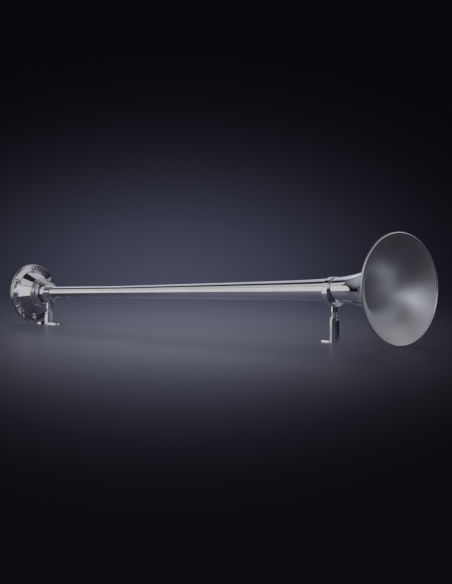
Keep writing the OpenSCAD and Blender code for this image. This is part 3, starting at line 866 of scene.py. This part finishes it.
def upright(stand):
    """The place of an upright piece of a stand."""
    return Matrix.Translation((stand.x, 0, 0))


def make_eye(stand):
    """An eye: its ring with the set screw's hole, and its shank."""
    name = f"{stand.side}_eye_ring"
    ring = skin(name, eye_ring(stand), HORN, polished, "horn", [f"{stand.side}_eye"])
    across = Matrix.Rotation(SET_SCREW_ANGLE, 4, "Z") @ Matrix.Rotation(math.pi / 2, 4, "Y")
    place = HORN @ Matrix.Translation((0, 0, -stand.station)) @ across
    hole_bm = prism(circle(2.62, 40), 0.3 * stand.eye_r, 1.5 * stand.eye_r)
    cut(ring, add_mesh("set_screw_tool", hole_bm, place, stand_plate))
    ring.data.set_sharp_from_angle(angle=math.radians(38))
    rod_bm = shank(stand.shank_top, stand.shank_end, stand.thread_top)
    skin(f"{stand.side}_shank", rod_bm, upright(stand), stand_plate, "horn", [])


def collar_outline(low, height, inner_edge, outer_edge, steps, support):
    """Outline of a ring round a shank, such as a washer or a jam nut."""
    high = low + height
    return rounded([
        (BORE_R, low, inner_edge), (JAM_R, low, outer_edge),
        (JAM_R, high, outer_edge), (BORE_R, high, inner_edge),
    ], steps, support)


def make_washer(stand):
    """The washer on top of a foot's stand."""
    side = stand.side
    bm = turn_outline(collar_outline(stand.post_top, WASHER_T, 0.1, 0.2, 3, 0.1), 72)
    name = f"{side}_washer_ring"
    skin(name, bm, upright(stand), fastener, f"{side}_lift", [f"{side}_washer"])


def make_jam_nut(stand):
    """The thin round jam nut on the washer, with two spanner flats."""
    side = stand.side
    bore_edge_r, half_flats = BORE_R + 0.2, JAM_R - JAM_FLAT

    def flats(r, z, t):
        if r < bore_edge_r:
            return r
        return min(r, half_flats / max(abs(math.sin(t)), 1e-3))

    outline = collar_outline(stand.post_top + WASHER_T, JAM_T, 0.15, 0.45, 4, 0.2)
    bm = turn_outline(outline, 96, radius=flats)
    name = f"{side}_nut_ring"
    skin(name, bm, upright(stand), fastener, f"{side}_jam_nut", [f"{side}_jam_nut"], 35)


def tab_outline(half):
    """Outline of a tab that runs from the post along -X and ends in a half circle."""
    steps = 28
    angles = [math.pi / 2 + math.pi * k / steps for k in range(steps + 1)]
    end = [(-TAB_REACH + half * math.cos(t), half * math.sin(t)) for t in angles]
    return [(0.0, half)] + end + [(0.0, -half)]


def make_foot(stand, outside, turns):
    """A foot in one piece: its turned post with a blind bore, and its tabs with screw holes.

    outside is the outside of the post from the deck to its top. Each of the turns, in radians, brings a tab
    from -X to its own direction.
    """
    over_tab = 20
    inside = [(BORE_R, stand.post_top, 0.1), (BORE_R, FOOT_FLOOR, 0.1), (0.0, FOOT_FLOOR, 0)]
    post_bm = turn_outline(rounded([(0.0, 0.0, 0)] + outside + inside, 5, 0.3), 96)
    ob = add_mesh(f"{stand.side}_foot_turned", post_bm, upright(stand), stand_plate)
    for turn in turns:
        place = upright(stand) @ Matrix.Rotation(turn, 4, "Z")
        slab_bm = prism(tab_outline(TAB_HALF), 0, TAB_T, tab_outline(TAB_HALF - 0.4))
        hole_bm = prism(circle(TAB_HOLE_R, 48, -TAB_REACH), -1, TAB_T + 1.5)
        bore_bm = prism(circle(BORE_R, 48), FOOT_FLOOR, over_tab)
        slab = add_mesh("tab_tool", slab_bm, place, stand_plate)
        cut(slab, add_mesh("hole_tool", hole_bm, place, stand_plate))
        cut(slab, add_mesh("bore_tool", bore_bm, place, stand_plate))
        cut(ob, slab, "UNION")
    bevelled(ob, 0.55, 35)
    ob.data.set_sharp_from_angle(angle=math.radians(50))
    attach(ob, f"{stand.side}_foot")
    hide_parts(f"{stand.side}_foot")


front_outside = [
    (FRONT_POST_R, 0.0, 0), (FRONT_POST_R, FRONT.post_top - 2.2, 0.9), (POST_RIM_R, FRONT.post_top, 0.3),
]
rear_outside = [
    (STEP_R, 0.0, 0), (STEP_R, REAR_STEP_H, 0.6), (REAR_POST_R, REAR_STEP_H, 0.15),
    (REAR_POST_R, REAR.post_top - 1.0, 0.4), (POST_RIM_R, REAR.post_top, 0.2),
]
for stand in (FRONT, REAR):
    make_eye(stand)
for stand in (FRONT, REAR):
    make_washer(stand)
    make_jam_nut(stand)
make_foot(FRONT, front_outside, [0])
make_foot(REAR, rear_outside, [0, math.pi])

# CAD nodes that stay, with their own materials
KEPT = {
    "rim_wire": steel, "throat_ferrule": brass, "throat_seal": black, "throat_nozzle": brass,
    "front_gasket": black, "rear_gasket": black, "diaphragm_button": steel,
    "passage_plug": brass, "front_set_screw": steel, "rear_set_screw": steel,
}
for node_name, material in KEPT.items():
    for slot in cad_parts[node_name].material_slots:
        slot.material = material

# The studio. The camera's direction is fitted to the photograph: from +Y towards -X, and a little down.
TURNED, DOWN = math.radians(45.11), math.radians(2.955)
AHEAD = Vector((-math.sin(TURNED), math.cos(TURNED), 0.0))
RIGHT = Vector((math.cos(TURNED), math.sin(TURNED), 0.0))
UP = Vector((0.0, 0.0, 1.0))
FORWARD = Vector((-math.sin(TURNED) * math.cos(DOWN), math.cos(TURNED) * math.cos(DOWN), -math.sin(DOWN)))
FLOOR_R = 3.4
FLOOR_Z = -0.0002
# Middle and spreads of the painted pool of light on the floor
PAINTED_POOL_MIDDLE = (-0.14, 0.13, 0.0)
PAINTED_POOL_SPREADS = [(RIGHT, 0.34), (AHEAD, 1.08)]
GLOW_MIDDLE = (FORWARD - 0.0159 * RIGHT).normalized()
GLOW_SPREADS = [(RIGHT, 0.0498), (UP, 0.0284)]
GLOW_COLOUR = (0.060, 0.063, 0.102)


def floor_material():
    """A plain pale floor with a painted pool of light: it fades out round the horn into the dark of the
    room.
    """
    m = Nodes("studio_floor")
    mottle = m.noise(m.mapped(), scale=5.0, detail=3.0, roughness=0.5)
    colours = [(0.3, (0.42, 0.435, 0.60)), (0.7, (0.45, 0.465, 0.64))]
    m.link(m.ramp(mottle, colours), m.shader.inputs["Base Color"])
    m.set(Roughness=0.30)
    clear = m.add("BsdfTransparent")
    mix = m.add("MixShader")
    # Painted pool of light: the floor is solid round the horn and turns clear away from it, showing the dark
    # room
    pool = m.pool(m.coordinates.outputs["Object"], PAINTED_POOL_MIDDLE, PAINTED_POOL_SPREADS)
    m.link(m.maths("SUBTRACT", 1.0, pool), mix.inputs["Fac"])
    m.link(m.shader.outputs["BSDF"], mix.inputs[1])
    m.link(clear.outputs["BSDF"], mix.inputs[2])
    m.link(mix.outputs["Shader"], m.tree.nodes["Material Output"].inputs["Surface"])
    return m.material


def make_floor():
    """A round sheet of floor just under the feet."""
    bm = bmesh.new()
    bm.faces.new([bm.verts.new((x, y, FLOOR_Z)) for x, y in circle(FLOOR_R, 96)])
    floor = plain_object("studio_floor", bm)
    floor.data.materials.append(floor_material())


def make_room():
    """The dark room, by height of direction, with a soft glow on the backdrop behind the horn."""
    world = bpy.data.worlds.new("studio")
    bpy.context.scene.world = world
    room = Nodes("studio", world)
    direction = room.coordinates.outputs["Generated"]
    parts = room.add("SeparateXYZ")
    room.link(direction, parts.inputs[0])
    height = room.spread(parts.outputs["Z"], 0.0, 1.0, start=-1.0, end=1.0)
    sky = room.ramp(height, [
        (0.30, (0.010, 0.010, 0.013)), (0.47, (0.0027, 0.0025, 0.004)), (0.53, (0.0030, 0.0028, 0.0045)),
        (0.62, (0.012, 0.012, 0.018)), (1.0, (0.016, 0.017, 0.022)),
    ])
    glow = room.add("VectorMath", operation="SCALE")
    glow.inputs[0].default_value = GLOW_COLOUR
    room.link(room.pool(direction, GLOW_MIDDLE, GLOW_SPREADS), glow.inputs["Scale"])
    total = room.add("VectorMath", operation="ADD")
    room.link(sky, total.inputs[0])
    room.link(glow.outputs["Vector"], total.inputs[1])
    room.link(total.outputs["Vector"], room.shader.inputs["Color"])
    room.set(Strength=1.0)


def area_light(name, width, height, radiance, colour):
    """An area light that the camera doesn't see. radiance is what a mirror shows of it."""
    light = bpy.data.lights.new(name, "AREA")
    light.shape = "RECTANGLE"
    light.size = width
    light.size_y = height
    light.energy = radiance * math.pi * width * height
    light.color = colour
    ob = bpy.data.objects.new(name, light)
    ob.visible_camera = False
    bpy.context.scene.collection.objects.link(ob)
    return ob


def panel(name, low, high, start, end, radiance, colour):
    """A light along X from start to end, between two edges (y, z), that faces the horn."""
    side = Vector((1, 0, 0))
    centre = Vector(((start + end) / 2, (low[0] + high[0]) / 2, (low[1] + high[1]) / 2))
    across = Vector((0, high[0] - low[0], high[1] - low[1]))
    facing = side.cross(across).normalized()
    if facing.dot(HORN_MIDDLE - centre) < 0:
        facing = -facing
    ob = area_light(name, end - start, across.length, radiance, colour)
    turn = Matrix((side, (-facing).cross(side), -facing)).transposed()
    ob.matrix_world = Matrix.Translation(centre) @ turn.to_4x4()


def card(name, centre, aim, width, height, radiance, colour, soft=True):
    """A light that faces a point. A soft one fades out towards its edges."""
    ob = area_light(name, width, height, radiance, colour)
    ob.location = centre
    ob.rotation_mode = "QUATERNION"
    ob.rotation_quaternion = (Vector(aim) - Vector(centre)).to_track_quat("-Z", "Y")
    if soft:
        fade_edges(ob.data)


def fade_edges(light):
    """Makes an area light fade out towards its edges, by u(1 - u) both ways."""
    m = Nodes(light.name, light)
    place = m.add("NewGeometry")
    parts = m.add("SeparateXYZ")
    m.link(place.outputs["Parametric"], parts.inputs[0])
    fades = []
    for part in ("X", "Y"):
        u = parts.outputs[part]
        fades.append(m.maths("MULTIPLY", m.maths("MULTIPLY", u, m.maths("SUBTRACT", 1.0, u)), 4.0))
    m.link(m.maths("MULTIPLY", *fades), m.shader.inputs["Strength"])


WARM, PALE, COOL = (1.0, 0.985, 0.97), (0.99, 0.99, 1.0), (0.90, 0.91, 1.0)
LAVENDER = (0.84, 0.85, 1.0)
HORN_MIDDLE = Vector((0.0, 0.0, 0.1))
BELL_MOUTH = (0.5, 0.0, 0.1)
FLANGE_LEVEL = (0.540, 0.113)

make_floor()
make_room()
panel("side_low", (-1.5, -0.3), (-1.5, 1.28), -3.4, 0.2, 0.62, WARM)
panel("side_high", (-1.5, 1.36), (-0.58, 1.9), -2.9, 0.0, 0.50, PALE)
panel("back", (0.40, 2.0), (1.9, 0.6), -2.6, -0.2, 0.50, COOL)
card("front", (2.3, 0.15, 1.6), BELL_MOUTH, 2.8, 2.4, 0.26, PALE)
card("front_side", (1.0, 1.5, 1.5), BELL_MOUTH, 2.3, 2.2, 0.40, PALE)
card("front_low", (2.2, 1.15, 0.55), BELL_MOUTH, 2.0, 1.2, 1.20, COOL)
card("near", (2.25, -1.45, 1.1), BELL_MOUTH, 2.8, 2.0, 1.05, COOL)
card("end", (-3.6, 0.6, 1.3), (0.3, 0.0, 0.1), 4.4, 2.6, 0.40, LAVENDER)
card("flange", (0.151, *FLANGE_LEVEL), (-0.487, *FLANGE_LEVEL), 0.070, 0.066, 0.42, PALE, soft=False)

# The camera, fitted to the photograph. Its place is given in metres from the middle of the bell's rim.
PHOTO_HEIGHT = 584
FOCAL_PIXELS = 3517.3
SENSOR = 36.0
CAMERA_BACK, CAMERA_LEFT, CAMERA_BELOW = 6.4248, 0.3182, 0.0052


def make_camera():
    """The camera at the photograph's viewing angle."""
    data = bpy.data.cameras.new("camera")
    data.sensor_fit = "AUTO"
    data.sensor_width = SENSOR
    data.lens = SENSOR * FOCAL_PIXELS / PHOTO_HEIGHT
    data.clip_start = 0.1
    data.clip_end = 60.0
    camera = bpy.data.objects.new("camera", data)
    rim_centre = Vector((RIM_X / 1000, 0.0, RIM_Z / 1000))
    above = RIGHT.cross(FORWARD)
    camera.location = rim_centre - FORWARD * CAMERA_BACK - RIGHT * CAMERA_LEFT - above * CAMERA_BELOW
    camera.rotation_mode = "QUATERNION"
    camera.rotation_quaternion = FORWARD.to_track_quat("-Z", "Y")
    bpy.context.scene.collection.objects.link(camera)
    bpy.context.scene.camera = camera
    bpy.context.scene.view_settings.view_transform = "Standard"


make_camera()
